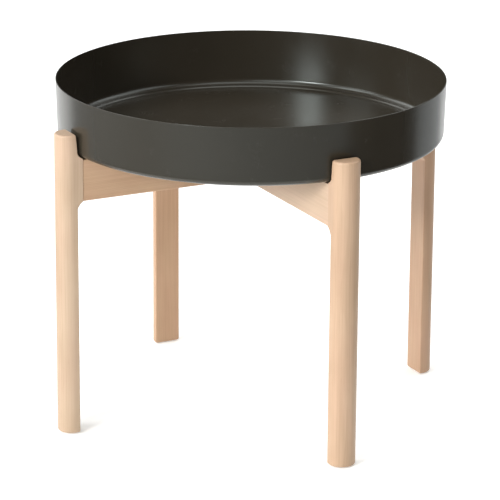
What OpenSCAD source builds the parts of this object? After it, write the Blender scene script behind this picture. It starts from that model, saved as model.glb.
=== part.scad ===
// Round tray table on a folding wooden cross stand.
// A deep pressed-steel tray lies loose on two crossbars that turn on one
// upright pivot. Each crossbar carries two D-shaped legs, which rise past the
// crossbars beside the tray wall and keep the tray centred.
// The origin is on the floor under the pivot, with +Z up.
// The lower crossbar lies along X and the upper one along Y.

/* [Tray] */
// Outside diameter at the rim
tray_d = 502; // [460:1:560]
// Height from the underside of the pressed floor to the rim
tray_h = 77.6; // [50:0.1:110]
// How much the wall's radius shrinks from the rim to the bottom corner
tray_draft = 2; // [1:0.5:5]
// Thickness of the steel sheet
sheet_t = 1.2; // [1:0.1:2]
// Outside radius of the corner between the wall and the bottom
corner_r = 9; // [6:0.5:14]
// How far the floor is pressed down below the ring around it
floor_step = 2; // [1:0.5:3]
// Radial width of the flat ring between the corner and the pressed floor
ring_w = 1; // [0.5:0.5:6]
// Radial width of the pressed step
step_w = 4; // [3:0.5:8]

/* [Stand] */
// Height of the crossbars' top faces above the floor
bar_top_h = 364.9; // [300:0.1:450]
// Depth of a crossbar from its top face to its bottom face
bar_h = 53.9; // [48:0.1:70]
// Thickness of a crossbar from side to side
bar_t = 34; // [28:0.5:36]
// Width of a leg across its flat inner face
leg_w = 35.5; // [34:0.1:40]
// Depth of a leg from its flat inner face to its round outer edge
leg_d = 22.9; // [20:0.1:28]
// Gap between the tray wall's bottom and the flat faces of the legs
leg_gap = 2.6; // [2:0.1:8]
// How far the legs rise above the crossbars beside the tray
leg_rise = 33; // [20:1:45]
// How much thicker a leg is where it meets its crossbar
boss_t = 7.1; // [6:0.1:10]
// Height of the slope below that thicker stretch
flare_h = 10; // [6:0.5:16]
// How far a leg's top leans back from the tray wall
top_relief = 1.8; // [1:0.1:3]

/* [Folding pivot] */
// Angle between the two crossbars when the stand is folded
folded_angle = 20; // [18:1:40]
// Free space between a crossbar and the shoulders of the lap it turns in
lap_gap = 0.3; // [0.2:0.1:1]
// Outside diameter of the threaded sleeve that both crossbars turn on
sleeve_d = 10; // [8:0.5:12]
// Radial clearance of the sleeve in the crossbars
sleeve_gap = 0.05; // [0.02:0.01:0.1]
// Diameter of the screw that clamps the sleeve
bolt_d = 6; // [5:0.5:6]
// Diameter of the flat heads on the sleeve and the screw
head_d = 22; // [18:1:24]
// Thickness of those heads
head_t = 2.6; // [2:0.1:3]
// Width across the flats of their hexagon sockets
socket_af = 4; // [3:0.5:4]
// Outside diameter of the plastic washer between the crossbars
lap_washer_d = 32; // [26:1:33]
// Thickness of each washer
washer_t = 1; // [0.8:0.1:1.5]

/* [Dowels and glides] */
// Diameter of the dowels that join each leg to its crossbar
dowel_d = 8; // [6:1:10]
// Length of the dowels
dowel_l = 36; // [30:1:38]
// Length of dowel that goes into the leg
dowel_in_leg = 16; // [12:1:18]
// Distance between the two dowels of a joint
dowel_pitch = 26; // [20:1:30]
// Diameter of the glide under each leg
glide_d = 16; // [12:1:18]
// How far a glide stands below its leg
glide_h = 1.2; // [0.8:0.1:2]

/* [Hidden] */
$fn = 64;

// Which way each leg faces, as the turn about Z from the +X arm
back_right = 0;
back_left = 90;
front_left = 180;
front_right = 270;

// Colours
steel_grey = [0.27, 0.27, 0.26];
birch = [0.87, 0.73, 0.57];
beech_dowel = [0.80, 0.66, 0.50];
zinc = [0.72, 0.73, 0.75];
nylon = [0.92, 0.91, 0.88];

// How far a cut runs past the face that it opens
cut = 1;

// Heights; the tray rests with a hair's breadth under it
rest_gap = 0.1;
tray_z = bar_top_h + rest_gap;
rim_z = tray_z + tray_h;
ring_z = tray_z + floor_step;
corner_z = ring_z + corner_r;
bar_z = bar_top_h - bar_h;
bar_mid_z = bar_z + bar_h / 2;
lap_floor_z = bar_mid_z - washer_t / 2;
lap_roof_z = bar_mid_z + washer_t / 2;
leg_top_z = bar_top_h + leg_rise;

// Radii measured from the pivot
rim_r = tray_d / 2;
wall_r = rim_r - tray_draft;
leg_r = wall_r + leg_gap;
boss_r = leg_r - boss_t;
leg_round_r = leg_w / 2;
leg_round_x = leg_r + leg_d - leg_round_r;
glide_inset = 0.6;
glide_x = leg_r + leg_d / 2 - glide_inset;

// The saddle's curve in a leg is this much tighter than one that keeps the
// whole gap to the tray's corner
saddle_tighter = 2.4;
// How far above the corner's centre a leg's top starts to lean back
relief_start = 1;

// The lap: half the slot's width, and how far its slanted shoulder reaches
lap_half = bar_t / 2 + lap_gap;
lap_reach = lap_half / tan(folded_angle / 2);
lap_knee = lap_half * (1 - sin(folded_angle)) / cos(folded_angle);

// Pivot stack, from the recess in the upper crossbar down
head_sink = 1;
recess_d = head_d + 2; // 1 mm of room all round
recess_depth = head_sink + head_t + washer_t;
recess_top_z = bar_top_h - recess_depth;
recess_bottom_z = bar_z + recess_depth;
sleeve_end_gap = 1;
screw_gap = 0.05;
screw_reach = 30;
socket_depth = 4;
thread_stop = 4; // solid stretch between the sleeve's head and its thread
washer_d = head_d + 1;
washer_bore_gap = 0.3;

// Fixing holes
glue_gap = 0.05;
glue_space = 1;
glide_recess = 2;
glide_stem_d = 5;
glide_stem_l = 12;

// Points on an arc, first and last angles included
function arc(x, y, r, from, to, steps = 8) =
    [for (i = [0 : steps]) let (a = from + (to - from) * i / steps)
        [x + r * cos(a), y + r * sin(a)]];

// Soft S-shaped step from one point to another, without its end points
function s_step(from, to, steps = 8) =
    [for (i = [1 : steps - 1]) let (u = i / steps)
        [from[0] + (to[0] - from[0]) * u,
         from[1] + (to[1] - from[1]) * (1 - cos(180 * u)) / 2]];

// One face of the sheet from the centre to the rim's edge; lift is 0 for the
// outside and the sheet's thickness for the inside
function tray_face(lift) =
    let (
        corner_x = wall_r - corner_r,
        ring_in = [corner_x - ring_w, ring_z + lift],
        floor_out = [corner_x - ring_w - step_w, tray_z + lift]
    )
    concat(
        [[0, tray_z + lift], floor_out],
        s_step(floor_out, ring_in),
        [ring_in],
        arc(corner_x, corner_z, corner_r - lift, -90, 0),
        [[rim_r - lift, rim_z - sheet_t / 2]]
    );

function reversed(points) =
    [for (i = [len(points) - 1 : -1 : 0]) points[i]];

module tray() {
    color(steel_grey)
    rotate_extrude($fn = 180)
    polygon(concat(
        tray_face(0),
        arc(rim_r - sheet_t / 2, rim_z - sheet_t / 2, sheet_t / 2, 30, 150, 4),
        reversed(tray_face(sheet_t))
    ));
}

// Plan of the slot that the other crossbar turns in: square shoulders stop it
// at a right angle, and slanted ones stop it at the folded angle
module lap_slot(z, height) {
    translate([0, 0, z])
    linear_extrude(height)
    polygon([
        [lap_half, lap_half + cut],
        [lap_half, lap_knee],
        [lap_reach, -lap_half],
        [lap_reach, -lap_half - cut],
        [-lap_half, -lap_half - cut],
        [-lap_half, -lap_knee],
        [-lap_reach, lap_half],
        [-lap_reach, lap_half + cut]
    ]);
}

// Holes for the dowels of the leg on the +X arm
module dowel_holes() {
    for (side = [-1, 1])
        translate([
            boss_r - (dowel_l - dowel_in_leg) - glue_space,
            0,
            bar_mid_z + side * dowel_pitch / 2
        ])
        rotate([0, 90, 0])
        cylinder(d = dowel_d + 2 * glue_gap, h = dowel_l + 2 * glue_space);
}

// Bar along X with dowel holes in both ends and the sleeve's bore
module crossbar_blank() {
    difference() {
        translate([-boss_r, -bar_t / 2, bar_z])
        cube([2 * boss_r, bar_t, bar_h]);
        for (turn = [0, 180])
            rotate(turn) dowel_holes();
        translate([0, 0, bar_z - cut])
        cylinder(d = sleeve_d + 2 * sleeve_gap, h = bar_h + 2 * cut);
    }
}

module lower_crossbar() {
    color(birch)
    difference() {
        crossbar_blank();
        lap_slot(lap_floor_z, bar_h);
        translate([0, 0, bar_z - cut])
        cylinder(d = recess_d, h = recess_depth + cut);
    }
}

module upper_crossbar() {
    color(birch)
    difference() {
        mirror([1, -1, 0]) crossbar_blank();
        mirror([1, -1, 0]) lap_slot(lap_roof_z - bar_h, bar_h);
        translate([0, 0, recess_top_z])
        cylinder(d = recess_d, h = recess_depth + cut);
    }
}

// Thicker stretch of the leg that meets the crossbar, seen from the side: it
// slopes in below, and its top curves up along the tray's corner
module boss_side() {
    saddle_r = leg_gap + corner_r - saddle_tighter;
    saddle_x = leg_r - saddle_r;
    reach = acos((boss_r - saddle_x) / saddle_r);
    polygon(concat(
        [
            [leg_round_x, bar_z - flare_h],
            [leg_r, bar_z - flare_h],
            [boss_r, bar_z]
        ],
        arc(saddle_x, corner_z, saddle_r, -reach, 0),
        [[leg_round_x, corner_z]]
    ));
}

// Leg of the +X arm
module leg() {
    color(birch)
    difference() {
        union() {
            translate([0, 0, glide_h])
            linear_extrude(leg_top_z - glide_h) {
                translate([leg_r, -leg_w / 2])
                square([leg_round_x - leg_r, leg_w]);
                intersection() {
                    translate([leg_round_x, 0]) circle(leg_round_r);
                    translate([leg_round_x, -leg_w / 2])
                    square([leg_w, leg_w]);
                }
            }
            rotate([90, 0, 0])
            translate([0, 0, -leg_w / 2])
            linear_extrude(leg_w) boss_side();
        }
        rotate([90, 0, 0])
        translate([0, 0, -leg_w])
        linear_extrude(2 * leg_w)
        polygon([
            [leg_r, corner_z + relief_start],
            [leg_r + top_relief, leg_top_z + cut],
            [leg_r - 2 * cut, leg_top_z + cut],
            [leg_r - 2 * cut, corner_z + relief_start]
        ]);
        dowel_holes();
        translate([glide_x, 0, 0]) {
            cylinder(d = glide_d + 2 * glue_gap, h = glide_h + glide_recess);
            cylinder(
                d = glide_stem_d + 2 * glue_gap,
                h = glide_h + glide_recess + glide_stem_l + glue_space
            );
        }
    }
}

// Two loose dowels of the +X arm, one above the other
module dowel_pair() {
    color(beech_dowel)
    for (side = [-1, 1])
        translate([
            boss_r - (dowel_l - dowel_in_leg),
            0,
            bar_mid_z + side * dowel_pitch / 2
        ])
        rotate([0, 90, 0]) {
            end_chamfer = 1;
            cylinder(d1 = dowel_d - 2 * end_chamfer, d2 = dowel_d, h = end_chamfer);
            translate([0, 0, end_chamfer])
            cylinder(d = dowel_d, h = dowel_l - 2 * end_chamfer);
            translate([0, 0, dowel_l - end_chamfer])
            cylinder(d1 = dowel_d, d2 = dowel_d - 2 * end_chamfer, h = end_chamfer);
        }
}

// Push-in glide of the +X arm: a disc with a stem
module glide() {
    color(nylon)
    translate([glide_x, 0, 0]) {
        cylinder(d = glide_d, h = glide_h + glide_recess);
        cylinder(d = glide_stem_d, h = glide_h + glide_recess + glide_stem_l);
    }
}

module front_left_leg() { rotate(front_left) leg(); }
module back_right_leg() { rotate(back_right) leg(); }
module front_right_leg() { rotate(front_right) leg(); }
module back_left_leg() { rotate(back_left) leg(); }

module front_left_dowels() { rotate(front_left) dowel_pair(); }
module back_right_dowels() { rotate(back_right) dowel_pair(); }
module front_right_dowels() { rotate(front_right) dowel_pair(); }
module back_left_dowels() { rotate(back_left) dowel_pair(); }

module front_left_glide() { rotate(front_left) glide(); }
module back_right_glide() { rotate(back_right) glide(); }
module front_right_glide() { rotate(front_right) glide(); }
module back_left_glide() { rotate(back_left) glide(); }

// Six-sided socket, h deep
module hex_socket(h) {
    cylinder(d = socket_af / cos(30), h = h, $fn = 6);
}

// Sleeve with a plain bore in place of its thread, hanging from its flat head in
// the top recess
module pivot_sleeve() {
    head_z = recess_top_z + washer_t;
    sleeve_z = recess_bottom_z + sleeve_end_gap;
    thread_z = head_z - thread_stop;
    color(zinc)
    difference() {
        union() {
            translate([0, 0, head_z]) cylinder(d = head_d, h = head_t);
            translate([0, 0, sleeve_z])
            cylinder(d = sleeve_d, h = head_z - sleeve_z + head_t / 2);
        }
        translate([0, 0, sleeve_z - cut])
        cylinder(d = bolt_d + 2 * screw_gap, h = thread_z - sleeve_z + cut);
        translate([0, 0, head_z + head_t - socket_depth])
        hex_socket(socket_depth + cut);
    }
}

// Screw with the same flat head, from the bottom recess up into the sleeve
module pivot_screw() {
    head_z = bar_z + head_sink;
    color(zinc)
    difference() {
        union() {
            translate([0, 0, head_z]) cylinder(d = head_d, h = head_t);
            translate([0, 0, head_z + head_t / 2])
            cylinder(d = bolt_d, h = head_t / 2 + screw_reach);
        }
        translate([0, 0, head_z - cut]) hex_socket(socket_depth + cut);
    }
}

module washer(outer, inner, z) {
    translate([0, 0, z])
    difference() {
        cylinder(d = outer, h = washer_t);
        translate([0, 0, -cut]) cylinder(d = inner, h = washer_t + 2 * cut);
    }
}

module top_washer() {
    color(zinc)
    washer(washer_d, sleeve_d + 2 * washer_bore_gap, recess_top_z);
}

module bottom_washer() {
    color(zinc)
    washer(washer_d, bolt_d + 2 * washer_bore_gap, recess_bottom_z - washer_t);
}

module lap_washer() {
    color(nylon)
    washer(lap_washer_d, sleeve_d + 2 * washer_bore_gap, lap_floor_z);
}

tray();
lower_crossbar();
upper_crossbar();
front_left_leg();
back_right_leg();
front_right_leg();
back_left_leg();
front_left_dowels();
back_right_dowels();
front_right_dowels();
back_left_dowels();
front_left_glide();
back_right_glide();
front_right_glide();
back_left_glide();
pivot_sleeve();
pivot_screw();
top_washer();
bottom_washer();
lap_washer();
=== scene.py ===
"""Looks of the folding tray table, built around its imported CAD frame.

The frame's origin is on the floor under the pivot, with +Z up. The lower
crossbar lies along X and the upper one along Y. Lengths are in metres.
"""

import math

import bmesh
import bpy
from mathutils import Matrix, Vector


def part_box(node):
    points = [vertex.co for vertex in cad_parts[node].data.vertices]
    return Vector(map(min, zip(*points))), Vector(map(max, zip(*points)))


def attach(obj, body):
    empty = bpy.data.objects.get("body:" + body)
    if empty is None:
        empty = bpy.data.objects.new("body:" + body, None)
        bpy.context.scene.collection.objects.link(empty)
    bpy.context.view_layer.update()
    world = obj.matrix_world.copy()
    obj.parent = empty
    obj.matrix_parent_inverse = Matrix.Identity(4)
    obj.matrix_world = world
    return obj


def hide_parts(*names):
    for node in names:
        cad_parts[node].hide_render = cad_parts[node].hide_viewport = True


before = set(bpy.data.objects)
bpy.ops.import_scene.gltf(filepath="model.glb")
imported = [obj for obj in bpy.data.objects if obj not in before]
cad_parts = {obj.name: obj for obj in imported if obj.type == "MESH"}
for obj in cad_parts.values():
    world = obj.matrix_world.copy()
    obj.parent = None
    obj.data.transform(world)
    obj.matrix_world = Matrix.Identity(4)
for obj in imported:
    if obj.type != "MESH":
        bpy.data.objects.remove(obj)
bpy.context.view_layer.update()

MM = 0.001

# ---------------------------------------------------------------- dimensions

# Each arm of the stand: its turn about Z from the +X arm, and its CAD body
ARMS = {
    "front_left": (180, "lower_frame"),
    "back_right": (0, "lower_frame"),
    "front_right": (270, "upper_frame"),
    "back_left": (90, "upper_frame"),
}

TRAY_LOW, TRAY_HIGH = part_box("tray")
BAR_LOW, BAR_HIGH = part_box("lower_crossbar")
LEG_LOW, LEG_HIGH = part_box("back_right_leg")
GLIDE_LOW, GLIDE_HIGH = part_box("back_right_glide")
DOWEL_LOW, DOWEL_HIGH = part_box("back_right_dowels")
SLEEVE_LOW, SLEEVE_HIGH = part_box("pivot_sleeve")
SCREW_LOW, SCREW_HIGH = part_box("pivot_screw")

# Clearance of a piece in its hole, and how far a cutter passes what it cuts
FIT = 0.05 * MM
SPILL = 1.0 * MM

# Tray
RIM_R = TRAY_HIGH.x
SHEET = 1.2 * MM
DRAFT = 2.0 * MM
CORNER_R = 9.0 * MM
FLOOR_STEP = 2.0 * MM
RING_W = 1.0 * MM
STEP_W = 4.0 * MM
WALL_R = RIM_R - DRAFT
CORNER_X = WALL_R - CORNER_R
CORNER_Z = TRAY_LOW.z + FLOOR_STEP + CORNER_R

# Legs
LEG_R = WALL_R + 2.6 * MM
BOSS_R = LEG_LOW.x
LEG_OUTER_R = LEG_HIGH.x
LEG_HALF_W = LEG_HIGH.y
FLARE_H = 10.0 * MM
TOP_RELIEF = 1.8 * MM
END_ROUND = 2.6 * MM
LEG_EASE = 1.2 * MM
BOSS_EASE = 0.5 * MM
SADDLE_R = 9.2 * MM

# Glides
GLIDE_R = GLIDE_HIGH.y
GLIDE_X = (GLIDE_LOW.x + GLIDE_HIGH.x) / 2
GLIDE_DISC_TOP = LEG_LOW.z + 2.0 * MM

# Crossbars and the lap where they cross
BAR_HALF_T = BAR_HIGH.y
BAR_MID_Z = (BAR_LOW.z + BAR_HIGH.z) / 2
LAP_HALF = BAR_HALF_T + 0.3 * MM
LAP_GAP = 1.0 * MM
FOLDED_ANGLE = math.radians(20)
EDGE_EASE = 0.8 * MM

# Pivot hardware
SLEEVE_R = 5.0 * MM
BORE_R = SLEEVE_R + FIT
SCREW_R = 3.0 * MM
HEAD_R = SLEEVE_HIGH.x
HEAD_T = 2.6 * MM
RECESS_R = HEAD_R + 1.0 * MM
RECESS_DEPTH = 4.6 * MM
SOCKET_R = 4.0 * MM / math.sqrt(3)
SOCKET_DEPTH = 2.4 * MM
WASHER_PLAY = 0.3 * MM

# Camera, with its angles in degrees and its lens in millimetres
CAMERA_PLACE = Vector((-1.71193, -3.36161, 1.41219))
CAMERA_TURN = -26.99
CAMERA_TILT = 17.704
CAMERA_ROLL = 0.401
CAMERA_LENS = 217.99

# Studio
LAMP_AIM = Vector((0, 0, 0.3))
FLOOR_REACH = 14.0
FLOOR_CELLS = 24
CLOTH_REACH = (0.55, 6.0)
CLOTH_UNDERSIDE, CLOTH_TOP = 2 * MM, 4 * MM
WORLD_STRENGTH = 0.01


# ------------------------------------------------------------- mesh helpers

def new_piece(name, mesh):
    """Object with the mesh, in the scene."""
    piece = bpy.data.objects.new(name, mesh)
    bpy.context.scene.collection.objects.link(piece)
    return piece


def mesh_from(name, points, faces):
    """Smooth mesh with its faces turned outwards."""
    mesh = bpy.data.meshes.new(name)
    mesh.from_pydata([tuple(p) for p in points], [], faces)
    build = bmesh.new()
    build.from_mesh(mesh)
    bmesh.ops.recalc_face_normals(build, faces=build.faces)
    for face in build.faces:
        face.smooth = True
    build.to_mesh(mesh)
    build.free()
    return mesh


def loft(name, rings):
    """Closed skin through rings that all have the same number of points."""
    count = len(rings[0])
    points = [p for ring in rings for p in ring]
    faces = []
    for level in range(len(rings) - 1):
        low, high = level * count, (level + 1) * count
        for i in range(count):
            j = (i + 1) % count
            faces.append((low + i, low + j, high + j, high + i))
    faces.append(tuple(reversed(range(count))))
    faces.append(tuple(range(len(points) - count, len(points))))
    return mesh_from(name, points, faces)


def lathe(name, profile, segments):
    """Turns a profile of (radius, height) about Z. A radius of 0 is a pole.
    A profile that never touches the axis closes on itself, as a ring."""
    points, rows, faces = [], [], []
    for radius, height in profile:
        turns = 1 if radius == 0 else segments
        rows.append([len(points) + i for i in range(turns)])
        for i in range(turns):
            a = 2 * math.pi * i / segments
            points.append((radius * math.cos(a), radius * math.sin(a), height))
    ring = all(radius > 0 for radius, _ in profile)
    next_rows = rows[1:] + rows[:1] if ring else rows[1:]
    for low, high in zip(rows, next_rows):
        for i in range(segments):
            j = (i + 1) % segments
            corners = [low[i % len(low)], low[j % len(low)],
                       high[j % len(high)], high[i % len(high)]]
            face = list(dict.fromkeys(corners))
            if len(face) > 2:
                faces.append(face)
    return mesh_from(name, points, faces)


def prism(name, outline, low, high):
    """Upright prism over a plan outline."""
    return loft(name, [[(x, y, z) for x, y in outline] for z in (low, high)])


def arc(x, y, radius, start, end, steps):
    """Points on an arc from one angle to another, in degrees."""
    turns = [math.radians(start + (end - start) * i / steps) for i in range(steps + 1)]
    return [(x + radius * math.cos(a), y + radius * math.sin(a)) for a in turns]


def polygon(radius, sides):
    """Regular outline round the pivot's axis. Many sides make a circle."""
    return arc(0, 0, radius, 0, 360 - 360 / sides, sides - 1)


def finished_mesh(piece):
    """The piece's mesh with its modifiers applied."""
    graph = bpy.context.evaluated_depsgraph_get()
    mesh = bpy.data.meshes.new_from_object(piece.evaluated_get(graph))
    piece.modifiers.clear()
    return mesh


def cut(piece, *cutters):
    """Takes each cutter's volume out of the piece, and removes the cutter."""
    for mesh in cutters:
        tool = new_piece("cutter", mesh)
        boolean = piece.modifiers.new("cut", "BOOLEAN")
        boolean.operation = "DIFFERENCE"
        boolean.solver = "EXACT"
        boolean.object = tool
        piece.data = finished_mesh(piece)
        bpy.data.objects.remove(tool)


def ease_edges(piece, width):
    """Rounds the piece's sharp edges and shades it smoothly."""
    bevel = piece.modifiers.new("eased_edges", "BEVEL")
    bevel.width = width
    bevel.segments = 3
    bevel.limit_method = "ANGLE"
    bevel.angle_limit = math.radians(32)
    piece.data = finished_mesh(piece)
    for face in piece.data.polygons:
        face.use_smooth = True


def even_shading(piece):
    """Keeps broad faces flat beside small roundings."""
    weighted = piece.modifiers.new("even_shading", "WEIGHTED_NORMAL")
    weighted.mode = "FACE_AREA_WITH_ANGLE"
    weighted.weight = 60
    piece.data = finished_mesh(piece)


def place(piece, material, slot, body, *nodes):
    """Gives a finished piece its material and its place in the frame."""
    even_shading(piece)
    piece.data.materials.clear()
    piece.data.materials.append(material)
    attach(piece, body)
    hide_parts(*nodes)


# ------------------------------------------------------------ node helpers

class Shader:
    """Builds one material's node tree with short calls."""

    def __init__(self, name):
        self.material = bpy.data.materials.new(name)
        self.material.use_nodes = True
        self.tree = self.material.node_tree
        self.surface = self.tree.nodes["Principled BSDF"]

    def link(self, value, socket):
        """Joins a socket to a socket, or sets a value on it."""
        if isinstance(value, bpy.types.NodeSocket):
            self.tree.links.new(value, socket)
        elif value is not None:
            socket.default_value = value

    def mapped(self, vector, **inputs):
        """The vector moved, turned and stretched by Location, Rotation, Scale."""
        node = self.tree.nodes.new("ShaderNodeMapping")
        self.tree.links.new(vector, node.inputs["Vector"])
        for name, value in inputs.items():
            node.inputs[name].default_value = value
        return node.outputs["Vector"]

    def place(self):
        """Place on the piece."""
        return self.tree.nodes.new("ShaderNodeTexCoord").outputs["Object"]

    def noise(self, vector, scale, detail, roughness):
        node = self.tree.nodes.new("ShaderNodeTexNoise")
        node.inputs["Scale"].default_value = scale
        node.inputs["Detail"].default_value = detail
        node.inputs["Roughness"].default_value = roughness
        self.tree.links.new(vector, node.inputs["Vector"])
        return node.outputs["Fac"]

    def math(self, operation, a, b=None):
        node = self.tree.nodes.new("ShaderNodeMath")
        node.operation = operation
        for value, socket in zip((a, b), node.inputs):
            self.link(value, socket)
        return node.outputs["Value"]

    def distance(self, x, y):
        """Distance from the line where x and y are both 0."""
        return self.math("SQRT", self.math(
            "ADD", self.math("MULTIPLY", x, x), self.math("MULTIPLY", y, y)))

    def remap(self, value, low, high, to_low, to_high, smooth=False):
        """The value's range from low to high brought onto another range."""
        node = self.tree.nodes.new("ShaderNodeMapRange")
        node.interpolation_type = "SMOOTHSTEP" if smooth else "LINEAR"
        self.link(value, node.inputs["Value"])
        node.inputs["From Min"].default_value = low
        node.inputs["From Max"].default_value = high
        node.inputs["To Min"].default_value = to_low
        node.inputs["To Max"].default_value = to_high
        return node.outputs["Result"]

    def split(self, vector):
        node = self.tree.nodes.new("ShaderNodeSeparateXYZ")
        self.tree.links.new(vector, node.inputs["Vector"])
        return node.outputs["X"], node.outputs["Y"], node.outputs["Z"]

    def mix(self, amount, a, b):
        """Colour from a to b. Each is a socket or an (r, g, b)."""
        node = self.tree.nodes.new("ShaderNodeMix")
        node.data_type = "RGBA"
        self.link(amount, node.inputs["Factor"])
        sockets = [s for s in node.inputs if s.type == "RGBA"]
        for value, socket in zip((a, b), sockets):
            is_socket = isinstance(value, bpy.types.NodeSocket)
            self.link(value if is_socket else (*value, 1), socket)
        return [s for s in node.outputs if s.type == "RGBA"][0]

    def bump(self, height, distance, strength):
        node = self.tree.nodes.new("ShaderNodeBump")
        node.inputs["Distance"].default_value = distance
        node.inputs["Strength"].default_value = strength
        self.link(height, node.inputs["Height"])
        return node.outputs["Normal"]

    def finish(self, **inputs):
        """Sets the surface's inputs, named with _ for each space."""
        for name, value in inputs.items():
            self.link(value, self.surface.inputs[name.replace("_", " ")])
        return self.material


# --------------------------------------------------------------- materials

# Turns that bring a piece's grain onto Z
ALONG_Z = (0, 0, 0)
ALONG_X = (0, math.radians(-90), 0)
ALONG_Y = (math.radians(90), 0, 0)

BIRCH_PALE = (0.55, 0.395, 0.265)
BIRCH_DARK = (0.40, 0.265, 0.160)
RING_PITCH = 1.9 * MM
RING_WANDER = 16 * MM

# Lathe marks on the zinc, in radians of their sine to a metre
LATHE_WAVE = 26000.0

# Painted light and shade: each leg's birch is tinted for how light falls on it, paler and
# cooler on the lit front left leg, a little warmer on the front right leg, darker and
# warmer on the back legs in shade
LEG_LIGHT_AND_SHADE_TINTS = {
    "front_left": (1.0, 1.03, 1.07),
    "back_right": (0.93, 0.84, 0.79),
    "front_right": (1.0, 0.97, 0.95),
    "back_left": (0.96, 0.86, 0.78),
}


def wood(name, grain_turn, pith, shift, tint):
    """Clear-lacquered pale wood. Growth rings lie round a pith line beside the
    piece, so faces show long grain and ends show arcs. grain_turn brings the
    piece's length onto Z."""
    # the tint paints light and shade onto the legs and crossbars; on the dowels it is the
    # beech's own colour
    light = tuple(c * t for c, t in zip(BIRCH_PALE, tint))
    dark = tuple(c * t for c, t in zip(BIRCH_DARK, tint))
    shader = Shader(name)
    upright = shader.mapped(shader.place(), Rotation=grain_turn)
    place = shader.mapped(upright, Location=shift)

    def grain(waves_across, waves_along, detail, roughness):
        """Noise stretched along the grain, with its waves to a metre."""
        stretched = shader.mapped(place, Scale=(waves_across, waves_across, waves_along))
        return shader.noise(stretched, 1.0, detail, roughness)

    # the rings wander a little across and along the board
    drift = grain(22, 2.4, 3, 0.55)
    x, y, _ = shader.split(place)
    from_pith = shader.distance(shader.math("SUBTRACT", x, shift[0] + pith[0]),
                                shader.math("SUBTRACT", y, shift[1] + pith[1]))
    wander = shader.math("MULTIPLY", drift, RING_WANDER)
    ring = shader.math("FRACT", shader.math(
        "DIVIDE", shader.math("ADD", from_pith, wander), RING_PITCH))
    late = shader.remap(ring, 0.2, 0.92, 0.0, 1.0, smooth=True)
    rings = shader.math("MULTIPLY", late, shader.remap(ring, 0.92, 1.0, 1.0, 0.0))
    # each ring has its own strength, and whole areas show hardly any
    year = grain(150, 4, 2, 0.6)
    rings = shader.math("MULTIPLY", rings, shader.remap(year, 0.35, 0.75, 0.15, 1.0))
    # fibres, streaks and short pores along the grain, and broad patches
    fibre = grain(1100, 16, 3, 0.65)
    streak = grain(330, 5, 3, 0.6)
    pores = shader.remap(grain(1700, 60, 1, 0.5), 0.68, 0.8, 0.0, 1.0, smooth=True)
    patch = grain(26, 11, 2, 0.5)

    # how dark each point is, from all of these
    tone = shader.math("ADD", shader.math("MULTIPLY", rings, 0.34),
                       shader.remap(fibre, 0.25, 0.75, 0.0, 0.26))
    tone = shader.math("ADD", tone, shader.remap(streak, 0.3, 0.7, -0.10, 0.20))
    tone = shader.math("ADD", tone, shader.remap(patch, 0.3, 0.7, -0.16, 0.20))
    tone = shader.math("ADD", tone, shader.math("MULTIPLY", pores, 0.30))
    # the pale wood is pinker in places
    blush = grain(31, 9, 2, 0.5)
    pinker = tuple(c * f for c, f in zip(light, (1.0, 0.955, 0.97)))
    pale = shader.mix(shader.remap(blush, 0.35, 0.65, 0.0, 1.0), light, pinker)
    height = shader.math("SUBTRACT", shader.math("MULTIPLY", fibre, 0.6), pores)
    return shader.finish(
        Base_Color=shader.mix(tone, pale, dark),
        Roughness=shader.remap(fibre, 0.2, 0.8, 0.42, 0.56),
        Normal=shader.bump(height, 0.04 * MM, 0.3),
        Coat_Weight=0.2,
        Coat_Roughness=0.35,
        IOR=1.45,
    )


def powder_coat():
    """Satin dark warm grey paint over pressed steel."""
    shader = Shader("powder_coat")
    place = shader.place()
    peel = shader.noise(place, 800, 2, 0.55)
    speck = shader.noise(place, 3600, 1, 0.5)
    cloud = shader.noise(place, 7, 3, 0.5)
    rub = shader.noise(place, 34, 4, 0.6)
    base = shader.mix(shader.remap(cloud, 0.3, 0.7, 0.0, 1.0),
                      (0.0280, 0.0230, 0.0160), (0.0330, 0.0272, 0.0194))
    base = shader.mix(shader.remap(speck, 0.62, 0.85, 0.0, 0.3),
                      base, (0.060, 0.059, 0.050))
    rough = shader.math("ADD", shader.remap(rub, 0.3, 0.7, 0.225, 0.265),
                        shader.remap(speck, 0.3, 0.7, -0.01, 0.015))
    height = shader.math("ADD", peel, shader.math("MULTIPLY", speck, 0.3))
    return shader.finish(
        Base_Color=base,
        Roughness=rough,
        Normal=shader.bump(height, 0.02 * MM, 0.15),
        IOR=1.50,
        Specular_Tint=(0.90, 1.0, 0.98, 1),
    )


def plated_metal():
    """Zinc-plated turned steel with fine lathe marks."""
    shader = Shader("zinc_plate")
    place = shader.place()
    x, y, _ = shader.split(place)
    marks = shader.math("SINE", shader.math(
        "MULTIPLY", shader.distance(x, y), LATHE_WAVE))
    cloud = shader.noise(place, 420, 3, 0.6)
    base = shader.mix(cloud, (0.50, 0.51, 0.53), (0.70, 0.71, 0.72))
    return shader.finish(
        Base_Color=base,
        Metallic=1.0,
        Roughness=shader.remap(cloud, 0.3, 0.7, 0.28, 0.42),
        Normal=shader.bump(marks, 0.01 * MM, 0.25),
    )


def moulded_plastic(name, dark, light):
    """Moulded nylon with a fine spark-eroded skin and faint mottling."""
    shader = Shader(name)
    place = shader.place()
    grain = shader.noise(place, 2600, 2, 0.5)
    cloud = shader.noise(place, 160, 2, 0.5)
    return shader.finish(
        Base_Color=shader.mix(cloud, dark, light),
        Roughness=shader.remap(grain, 0.3, 0.7, 0.45, 0.6),
        Normal=shader.bump(grain, 0.02 * MM, 0.3),
    )


# ------------------------------------------------------------------- pieces

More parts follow.
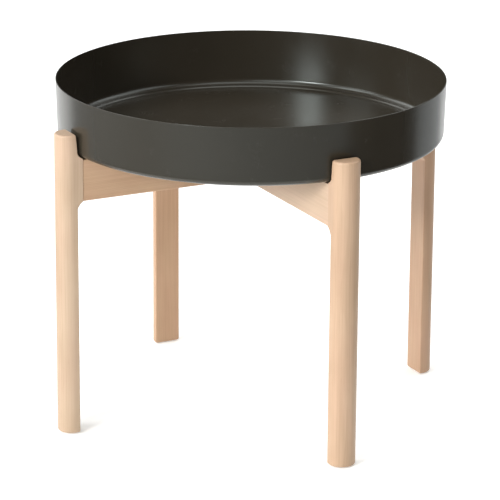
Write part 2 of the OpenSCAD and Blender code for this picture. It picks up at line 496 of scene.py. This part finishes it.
def tray_face(lift):
    """One face of the sheet, from the centre out to just below the rim, as
    (radius, height). A lift of 0 is the underside."""
    ring_z = TRAY_LOW.z + FLOOR_STEP + lift
    floor_z = TRAY_LOW.z + lift
    ring_x = CORNER_X - RING_W
    floor_x = ring_x - STEP_W
    flat_edge = floor_x - 1.2 * MM
    flat = [(r, floor_z) for r in (0, floor_x * 0.35, floor_x * 0.7, flat_edge)]
    steps = 10
    step = [
        (floor_x + STEP_W * i / steps,
         floor_z + FLOOR_STEP * (1 - math.cos(math.pi * i / steps)) / 2)
        for i in range(steps + 1)
    ]
    ring = [(ring_x + RING_W / 2, ring_z)]
    corner = arc(CORNER_X, CORNER_Z, CORNER_R - lift, -90, 0, 20)
    wall = []
    for share in (0.03, 0.3, 0.6, 0.9, 0.98):
        z = CORNER_Z + (TRAY_HIGH.z - CORNER_Z) * share
        wall.append((WALL_R - lift + DRAFT * share, z))
    return flat + step + ring + corner + wall


def make_tray(material):
    """The pressed sheet, turned from both of its faces and its round rim."""
    outside = tray_face(0)
    inside = tray_face(SHEET)
    rim = arc(RIM_R - SHEET / 2, TRAY_HIGH.z - SHEET / 2, SHEET / 2, 0, 180, 8)
    mesh = lathe("tray_sheet", outside + rim + inside[::-1], 288)
    place(new_piece("tray_sheet", mesh), material, "tray_steel", "tray", "tray")


def leg_section(inner, ease, inset, flat_inset):
    """D-shaped section with its flat at radius inner, shrunk by inset round
    its outside and by flat_inset on its flat, as (radius, sideways) points."""
    flat = inner + flat_inset
    half = LEG_HALF_W - inset
    centre = LEG_OUTER_R - LEG_HALF_W
    near, far = flat + ease, half - ease
    mid_side = near + (centre - near) * 0.5
    return (
        arc(near, -far, ease, 180, 270, 4)
        + [(mid_side, -half)]
        + arc(centre, 0, half, -90, 90, 36)
        + [(mid_side, half)]
        + arc(near, far, ease, 90, 180, 4)
        + [(flat, far * 0.5), (flat, 0), (flat, -far * 0.5)]
    )


def leg_levels():
    """Levels of a leg from the foot to the top, each as (flat's radius,
    height, edge rounding, inset, flat's inset)."""
    rows = []
    # how much of each end's rounding the flat takes
    foot_flat_share, top_flat_share = 0.8, 0.25
    flare_curve = 1.7
    shaft_low, shaft_high = LEG_LOW.z + END_ROUND, BAR_LOW.z - FLARE_H
    rounding = [math.radians(15 * i) for i in range(7)]
    for a in rounding:
        inset = END_ROUND * (1 - math.sin(a))
        z = LEG_LOW.z + END_ROUND * (1 - math.cos(a))
        rows.append((LEG_R, z, LEG_EASE, inset, inset * foot_flat_share))
    for i in range(1, 9):
        z = shaft_low + (shaft_high - shaft_low) * i / 9
        rows.append((LEG_R, z, LEG_EASE, 0, 0))

    # the slope below the boss curves out of the leg
    for i in range(11):
        share = i / 10
        r = LEG_R - (LEG_R - BOSS_R) * share ** flare_curve
        ease = LEG_EASE + (BOSS_EASE - LEG_EASE) * share
        rows.append((r, shaft_high + FLARE_H * share, ease, 0, 0))

    # the boss, then the saddle under the tray's corner
    saddle_x = LEG_R - SADDLE_R
    saddle_steps = 12
    reach = math.degrees(math.acos((BOSS_R - saddle_x) / SADDLE_R))
    saddle = arc(saddle_x, CORNER_Z, SADDLE_R, -reach, 0, saddle_steps)
    boss_high = saddle[0][1]
    for i in range(1, 6):
        z = BAR_LOW.z + (boss_high - BAR_LOW.z) * i / 6
        rows.append((BOSS_R, z, BOSS_EASE, 0, 0))
    for i, (r, z) in enumerate(saddle):
        ease = BOSS_EASE + (LEG_EASE - BOSS_EASE) * i / saddle_steps
        rows.append((r, z, ease, 0, 0))

    # the top leans back from the wall and is rounded over
    top_low, top_high = CORNER_Z + 1 * MM, LEG_HIGH.z - END_ROUND
    for i in range(5):
        z = top_low + (top_high - top_low) * i / 4
        lean = TOP_RELIEF * (z - top_low) / (LEG_HIGH.z - top_low)
        rows.append((LEG_R + lean, z, LEG_EASE, 0, 0))
    top_r = LEG_R + TOP_RELIEF * 0.95
    for a in rounding[-2::-1]:
        inset = END_ROUND * (1 - math.sin(a))
        z = LEG_HIGH.z - END_ROUND * (1 - math.cos(a))
        rows.append((top_r, z, LEG_EASE, inset, inset * top_flat_share))
    return rows


def make_leg(arm, material):
    """D-shaped leg with its boss, its saddle and the recess of its glide."""
    turn, body = ARMS[arm]
    rings = [
        [(r, side, z) for r, side in leg_section(inner, ease, inset, flat_inset)]
        for inner, z, ease, inset, flat_inset in leg_levels()
    ]
    name = arm + "_leg"
    piece = new_piece(name + "_shaped", loft(name, rings))
    low, radius = LEG_LOW.z - SPILL, GLIDE_R + FIT
    profile = [(0, low), (radius, low), (radius, GLIDE_DISC_TOP), (0, GLIDE_DISC_TOP)]
    recess = lathe("recess", profile, 48)
    recess.transform(Matrix.Translation((GLIDE_X, 0, 0)))
    cut(piece, recess)
    piece.data.transform(Matrix.Rotation(math.radians(turn), 4, "Z"))
    place(piece, material, "birch", body, name)


def lap_outline():
    """Plan of the slot that the other crossbar turns in: square shoulders for
    the open stand, slanted ones for the folded stand."""
    reach = LAP_HALF / math.tan(FOLDED_ANGLE / 2)
    knee = LAP_HALF * (1 - math.sin(FOLDED_ANGLE)) / math.cos(FOLDED_ANGLE)
    past = LAP_HALF + SPILL
    half = [(LAP_HALF, past), (LAP_HALF, knee), (reach, -LAP_HALF), (reach, -past)]
    return half[::-1] + [(-x, -y) for x, y in half[::-1]]


def make_crossbar(node, material, body, upper):
    """The lower crossbar lies along X with its slot on top; the upper one is
    its twin, mirrored into Y with its slot underneath."""
    long, half_t = BAR_HIGH.x, BAR_HALF_T
    outline = [(-long, -half_t), (long, -half_t), (long, half_t), (-long, half_t)]
    piece = new_piece(node + "_shaped", prism(node, outline, BAR_LOW.z, BAR_HIGH.z))
    low, high = BAR_LOW.z - SPILL, BAR_HIGH.z + SPILL
    if upper:
        slot = (low, BAR_MID_Z + LAP_GAP / 2)
        recess = (BAR_HIGH.z - RECESS_DEPTH, high)
    else:
        slot = (BAR_MID_Z - LAP_GAP / 2, high)
        recess = (low, BAR_LOW.z + RECESS_DEPTH)
    cut(
        piece,
        prism("slot", lap_outline(), *slot),
        prism("recess", polygon(RECESS_R, 60), *recess),
        prism("bore", polygon(BORE_R, 48), low, high),
    )
    if upper:
        swap = Matrix(((0, 1, 0, 0), (1, 0, 0, 0), (0, 0, 1, 0), (0, 0, 0, 1)))
        piece.data.transform(swap)
        piece.data.flip_normals()
    ease_edges(piece, EDGE_EASE)
    place(piece, material, "birch", body, node)


def make_dowels(arm, material):
    """Two fluted dowels, one above the other."""
    turn, body = ARMS[arm]
    radius = (DOWEL_HIGH.y - DOWEL_LOW.y) / 2
    length = DOWEL_HIGH.x - DOWEL_LOW.x
    flutes, points_per_flute = 20, 6
    flute_depth = 0.25 * MM
    chamfer = 1.0 * MM
    count = flutes * points_per_flute
    joined = bmesh.new()
    for z in (DOWEL_LOW.z + radius, DOWEL_HIGH.z - radius):
        rings = []
        for share in (0, 0.03, 0.5, 0.97, 1):
            x = DOWEL_LOW.x + length * share
            end_r = radius - (chamfer if share in (0, 1) else 0)
            ring = []
            for i in range(count):
                a = 2 * math.pi * i / count
                r = end_r - flute_depth * max(0.0, math.cos(flutes * a)) ** 2
                ring.append((x, r * math.cos(a), z + r * math.sin(a)))
            rings.append(ring)
        joined.from_mesh(loft("dowel", rings))
    mesh = bpy.data.meshes.new(arm + "_dowels")
    joined.to_mesh(mesh)
    joined.free()
    mesh.transform(Matrix.Rotation(math.radians(turn), 4, "Z"))
    piece = new_piece(arm + "_dowels_fluted", mesh)
    place(piece, material, "dowel_wood", body, arm + "_dowels")


def make_glide(arm, material):
    """Push-in glide: a round-edged disc with a chamfered stem."""
    turn, body = ARMS[arm]
    disc_top, stem_top = GLIDE_DISC_TOP, GLIDE_HIGH.z
    stem_r = 2.5 * MM
    rounding = 0.8 * MM
    ease, fillet = 0.2 * MM, 0.3 * MM
    profile = (
        [(0, 0), (GLIDE_R - rounding - 1 * MM, 0)]
        + arc(GLIDE_R - rounding, rounding, rounding, -90, 0, 6)
        + [(GLIDE_R, disc_top - ease), (GLIDE_R - ease, disc_top),
           (stem_r + fillet, disc_top), (stem_r, disc_top + fillet),
           (stem_r, stem_top - 1.5 * MM), (stem_r - 1 * MM, stem_top), (0, stem_top)]
    )
    mesh = lathe(arm + "_glide", profile, 64)
    mesh.transform(Matrix.Translation((GLIDE_X, 0, 0)))
    mesh.transform(Matrix.Rotation(math.radians(turn), 4, "Z"))
    piece = new_piece(arm + "_glide_moulded", mesh)
    place(piece, material, "glide_plastic", body, arm + "_glide")


def head_profile(face, seat, shank_r):
    """Half section of a flat round head, from its face to its shank."""
    inward = 1 if seat > face else -1
    crown, edge, ease = 0.15 * MM, 0.7 * MM, 0.3 * MM
    return [
        (0, face), (HEAD_R - 1.2 * MM, face), (HEAD_R - 0.5 * MM, face + crown * inward),
        (HEAD_R, face + edge * inward), (HEAD_R, seat - ease * inward),
        (HEAD_R - ease, seat), (shank_r + ease, seat), (shank_r, seat + ease * inward),
    ]


def make_sleeve(material):
    """Threaded sleeve with a flat head and a hexagon socket."""
    top, low = SLEEVE_HIGH.z, SLEEVE_LOW.z
    seat = top - HEAD_T
    bore = SCREW_R + FIT
    roof = seat - 4 * MM
    outer_ease, bore_ease = 0.6 * MM, 0.4 * MM
    profile = head_profile(top, seat, SLEEVE_R) + [
        (SLEEVE_R, low + outer_ease), (SLEEVE_R - outer_ease, low),
        (bore + bore_ease, low), (bore, low + bore_ease),
        (bore, roof), (0, roof + 1.2 * MM),
    ]
    piece = new_piece("pivot_sleeve_turned", lathe("pivot_sleeve", profile, 96))
    cut(piece, prism("socket", polygon(SOCKET_R, 6), top - SOCKET_DEPTH, top + SPILL))
    place(piece, material, "zinc", "lower_frame", "pivot_sleeve")


def make_screw(material):
    """Flat-headed screw with a hexagon socket. Plain rings stand in for its
    thread."""
    low, high = SCREW_LOW.z, SCREW_HIGH.z
    seat = low + HEAD_T
    pitch, depth = 1.0 * MM, 0.35 * MM
    tip_length, tip_narrowing = 0.8 * MM, 0.7 * MM
    thread = []
    z = seat + 4 * MM
    while z < high - 2 * MM:
        thread += [(SCREW_R - depth, z), (SCREW_R, z + pitch * 0.45),
                   (SCREW_R, z + pitch * 0.55)]
        z += pitch
    tip = [(SCREW_R, high - tip_length), (SCREW_R - tip_narrowing, high), (0, high)]
    profile = head_profile(low, seat, SCREW_R) + thread + tip
    piece = new_piece("pivot_screw_turned", lathe("pivot_screw", profile, 96))
    cut(piece, prism("socket", polygon(SOCKET_R, 6), low - SPILL, low + SOCKET_DEPTH))
    place(piece, material, "zinc", "lower_frame", "pivot_screw")


def make_washer(node, material, slot, inner):
    """Flat washer with eased edges."""
    low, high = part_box(node)
    outer, ease = high.x, 0.15 * MM
    profile = [
        (inner + ease, low.z), (outer - ease, low.z), (outer, low.z + ease),
        (outer, high.z - ease), (outer - ease, high.z), (inner + ease, high.z),
        (inner, high.z - ease), (inner, low.z + ease),
    ]
    piece = new_piece(node + "_stamped", lathe(node, profile, 96))
    place(piece, material, slot, "lower_frame", node)


# -------------------------------------------------------------------- scene

def make_floor():
    """Wide white floor, lit through like studio paper."""
    build = bmesh.new()
    bmesh.ops.create_grid(
        build, x_segments=FLOOR_CELLS, y_segments=FLOOR_CELLS, size=FLOOR_REACH)
    mesh = bpy.data.meshes.new("studio_floor")
    build.to_mesh(mesh)
    build.free()
    shader = Shader("floor_paper")
    grain = shader.noise(shader.place(), 30, 3, 0.5)
    mesh.materials.append(shader.finish(
        Base_Color=shader.mix(grain, (0.90, 0.90, 0.90), (0.92, 0.92, 0.92)),
        Roughness=0.9,
        Specular_IOR_Level=0.1,
        Emission_Color=(0.96, 1.0, 0.97, 1),
        Emission_Strength=0.30,
    ))
    new_piece("studio_floor", mesh)


def make_cloth(name, span, dark, light):
    """Cloth lying on the floor round the table, hidden from the camera. It
    shows only in reflections, where it darkens part of the tray's wall. The
    span is a pair of angles from the camera's side to the camera's right."""
    start, end = (CAMERA_TURN - 90 + a for a in span)
    near, far = CLOTH_REACH
    outline = arc(0, 0, near, start, end, 24) + arc(0, 0, far, end, start, 24)
    mesh = prism(name, outline, CLOTH_UNDERSIDE, CLOTH_TOP)
    shader = Shader(name + "_cloth")
    nap = shader.noise(shader.place(), 90, 3, 0.6)
    mesh.materials.append(shader.finish(
        Base_Color=shader.mix(nap, dark, light),
        Roughness=1.0,
        Specular_IOR_Level=0.0,
    ))
    cloth = new_piece(name, mesh)
    cloth.visible_camera = False
    cloth.visible_diffuse = False
    cloth.visible_shadow = False
    cloth.visible_transmission = False


def make_cloths():
    """Black cloth to the right of the table, with grey cloth on both sides."""
    make_cloth("grey_cloth_left", (-122, 54), (0.48, 0.52, 0.55), (0.52, 0.56, 0.59))
    make_cloth("black_cloth", (54, 106), (0.002, 0.002, 0.002), (0.006, 0.006, 0.006))
    make_cloth("grey_cloth_right", (106, 140), (0.64, 0.66, 0.67), (0.68, 0.70, 0.71))


def make_softbox(name, azimuth, elevation, distance, size, power):
    """Square area light, aimed at the table. Its azimuth and elevation are in
    degrees. Azimuth 0 is the camera's side, and it grows to the camera's left."""
    turn = math.radians(CAMERA_TURN - azimuth)
    lift = math.radians(elevation)
    level = math.cos(lift)
    away = Vector((math.sin(turn) * level, -math.cos(turn) * level, math.sin(lift)))
    light = bpy.data.lights.new(name, "AREA")
    light.shape = "SQUARE"
    light.size = size
    light.energy = power
    lamp = bpy.data.objects.new(name, light)
    bpy.context.scene.collection.objects.link(lamp)
    lamp.location = LAMP_AIM + away * distance
    lamp.rotation_mode = "QUATERNION"
    lamp.rotation_quaternion = away.to_track_quat("Z", "Y")
    lamp.visible_camera = False


def make_lights():
    """Key from the front left, with softer lamps all round and one above."""
    # name, azimuth, elevation, distance, size, power
    make_softbox("key", 37.5, 20.5, 5.0, 1.2, 162)
    make_softbox("top", 0, 88, 4.0, 2.6, 48)
    make_softbox("fill_front", 20, 42, 5.0, 2.3, 46)
    make_softbox("fill_left", 80, 42, 5.0, 2.3, 86)
    make_softbox("fill_left_low", 72, 12, 5.0, 1.8, 44)
    make_softbox("fill_right", -80, 42, 5.0, 2.3, 34)
    make_softbox("back_left", 130, 36, 5.0, 2.3, 66)
    make_softbox("back_right", -120, 42, 5.0, 2.3, 42)
    make_softbox("rim_right", -160, 42, 5.0, 2.3, 52)
    make_softbox("rim_left_low", 150, 21, 5.0, 1.8, 24)
    make_softbox("rim_right_low", -160, 13, 5.0, 1.8, 22)


def make_camera():
    """Long lens above the table, looking down at it."""
    data = bpy.data.cameras.new("camera")
    data.sensor_width = 36
    data.lens = CAMERA_LENS
    data.clip_start, data.clip_end = 0.1, 100
    camera = bpy.data.objects.new("camera", data)
    bpy.context.scene.collection.objects.link(camera)
    camera.location = CAMERA_PLACE
    turn = Matrix.Rotation(math.radians(CAMERA_TURN), 4, "Z")
    tilt = Matrix.Rotation(math.radians(90 - CAMERA_TILT), 4, "X")
    roll = Matrix.Rotation(math.radians(CAMERA_ROLL), 4, "Z")
    camera.rotation_mode = "QUATERNION"
    camera.rotation_quaternion = (turn @ tilt @ roll).to_quaternion()
    bpy.context.scene.camera = camera


def make_world():
    """Faint even light from everywhere."""
    world = bpy.data.worlds.new("studio")
    bpy.context.scene.world = world
    world.use_nodes = True
    background = world.node_tree.nodes["Background"]
    background.inputs["Color"].default_value = (1, 1, 1, 1)
    background.inputs["Strength"].default_value = WORLD_STRENGTH


def make_stand():
    """Legs and crossbars, then each arm's dowels and glide."""
    # each leg's tint paints in the light and shade that fall on it
    for i, (arm, tint) in enumerate(LEG_LIGHT_AND_SHADE_TINTS.items()):
        pith = (0.16 + 0.07 * i, -0.11 + 0.09 * i)
        shift = (0.31 * i, 0.17 * i, 0.53 * i)
        make_leg(arm, wood(arm + "_leg_birch", ALONG_Z, pith, shift, tint))

    # painted light and shade: the lower crossbar's tint makes it warmer, as the wood looks
    # in shade; the upper crossbar's tint brightens it, painting light onto its shaded
    # faces
    lower_birch = wood("lower_crossbar_birch", ALONG_X, (0.05, 0.13), (1.1, 0.4, 0.7),
                       (1.0, 0.92, 0.85))
    upper_birch = wood("upper_crossbar_birch", ALONG_Y, (-0.06, 0.12), (2.2, 1.3, 0.9),
                       (1.12, 1.15, 1.2))
    make_crossbar("lower_crossbar", lower_birch, "lower_frame", upper=False)
    make_crossbar("upper_crossbar", upper_birch, "upper_frame", upper=True)

    beech = wood("dowel_beech", ALONG_X, (0.02, 0.03), (3.1, 0.2, 0.3), (1.05, 0.98, 0.88))
    nylon = moulded_plastic("glide_nylon", (0.62, 0.60, 0.55), (0.72, 0.70, 0.65))
    for arm in ARMS:
        make_dowels(arm, beech)
        make_glide(arm, nylon)


def make_pivot():
    """Sleeve, screw and the three washers on them."""
    zinc = plated_metal()
    nylon = moulded_plastic("washer_nylon", (0.78, 0.76, 0.70), (0.85, 0.83, 0.78))
    make_sleeve(zinc)
    make_screw(zinc)
    make_washer("top_washer", zinc, "zinc", SLEEVE_R + WASHER_PLAY)
    make_washer("bottom_washer", zinc, "zinc", SCREW_R + WASHER_PLAY)
    make_washer("lap_washer", nylon, "nylon", SLEEVE_R + WASHER_PLAY)


def main():
    view = bpy.context.scene.view_settings
    view.view_transform = "Standard"
    view.look = "None"

    make_camera()
    make_world()
    make_floor()
    make_cloths()
    make_lights()

    make_tray(powder_coat())
    make_stand()
    make_pivot()


main()
